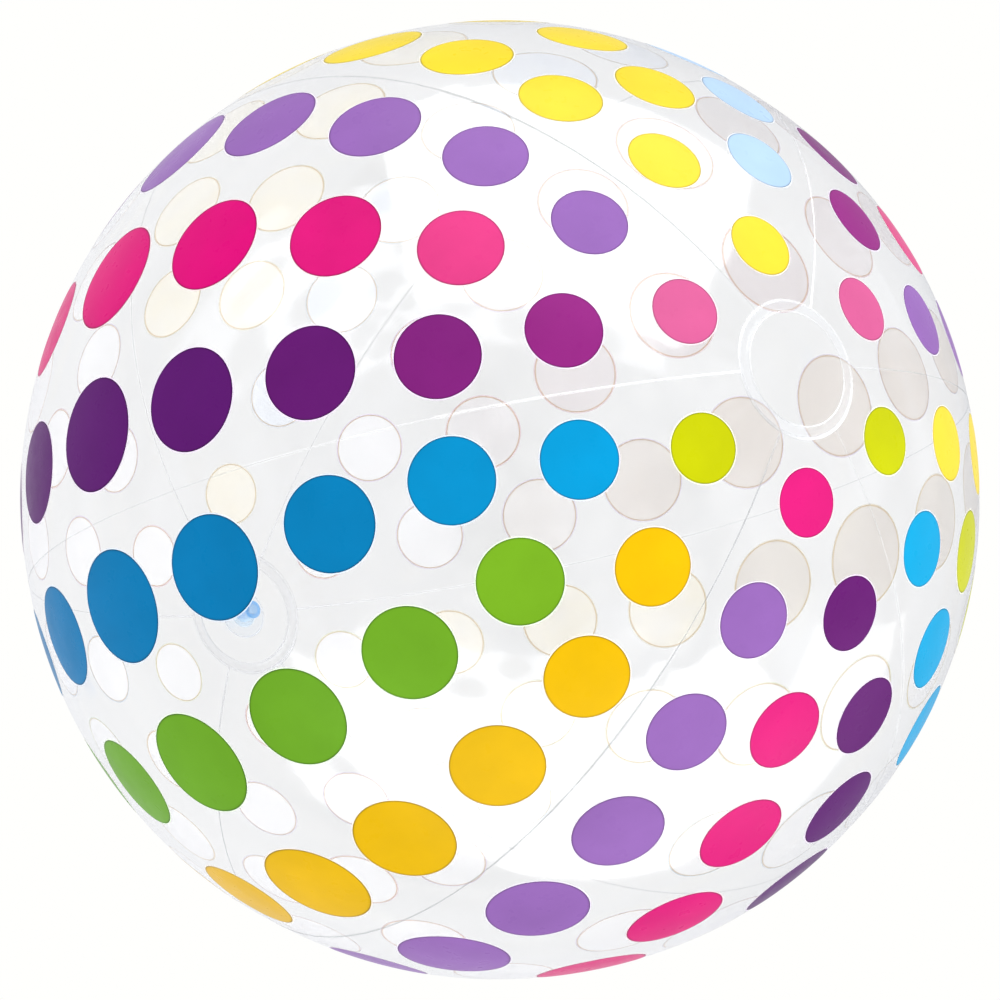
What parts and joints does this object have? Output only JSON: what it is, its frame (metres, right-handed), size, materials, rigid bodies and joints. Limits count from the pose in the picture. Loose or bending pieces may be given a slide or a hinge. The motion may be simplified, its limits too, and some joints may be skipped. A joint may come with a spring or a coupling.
{
  "type": "inflatable beach ball",
  "caption": "Large inflatable beach ball of clear film printed with coloured dots, with round end discs and a push-in valve.",
  "frame": {"origin": "the centre of the ball", "axes": "+Z along the polar axis, from the valve at the bottom pole to the plain end disc at the top pole; +X through the middle of panel_1"},
  "size_m": [1.07, 1.0712, 1.0723],
  "materials": {
    "clear_film": "clear soft PVC film, glossy, 0.3 mm",
    "disc_film": "clear soft PVC film with a white-edged weld",
    "patch_film": "clear soft PVC film, glossy",
    "clear_moulding": "translucent soft PVC moulding, faintly blue",
    "blue_moulding": "translucent pale blue soft PVC moulding",
    "print_gold": "glossy printed ink, gold, with a white backing",
    "print_yellow": "glossy printed ink, yellow, with a white backing",
    "print_lime": "glossy printed ink, lime, with a white backing",
    "print_green": "glossy printed ink, green, with a white backing",
    "print_blue": "glossy printed ink, blue, with a white backing",
    "print_sky": "glossy printed ink, sky blue, with a white backing",
    "print_pale_blue": "glossy printed ink, pale blue, with a white backing",
    "print_lavender": "glossy printed ink, lavender, with a white backing",
    "print_purple": "glossy printed ink, dark purple, with a white backing",
    "print_magenta": "glossy printed ink, magenta, with a white backing",
    "print_pink": "glossy printed ink, pink, with a white backing"
  },
  "bodies": {
    "ball": {"panel_1": "clear_film", "panel_2": "clear_film", "panel_3": "clear_film", "panel_4": "clear_film", "panel_5": "clear_film", "panel_6": "clear_film", "end_disc_plain": "disc_film", "end_disc_valve": "disc_film", "valve_patch": "patch_film", "valve_flange": "clear_moulding", "valve_web": "clear_moulding"},
    "valve": {"valve_stem": "blue_moulding", "plug_strap": "blue_moulding"},
    "plug": {"valve_plug": "blue_moulding"},
    "flap": {"check_flap": "clear_moulding"}
  },
  "joints": [
    {"name": "valve_pull", "type": "slide", "parent": "ball", "child": "valve", "axis": [0, 0, -1], "range_m": [0, 0.014], "deforming": ["valve_web"]},
    {"name": "plug_pull", "type": "slide", "parent": "valve", "child": "plug", "axis": [0, 0, -1], "range_m": [0, 0.011], "deforming": ["plug_strap"]},
    {"name": "flap_open", "type": "hinge", "parent": "valve", "child": "flap", "pos_m": [0.0075, 0, -0.5123], "axis": [0, 1, 0], "range_deg": [0, 40], "stiffness_Nm_per_rad": 0.0005}
  ]
}
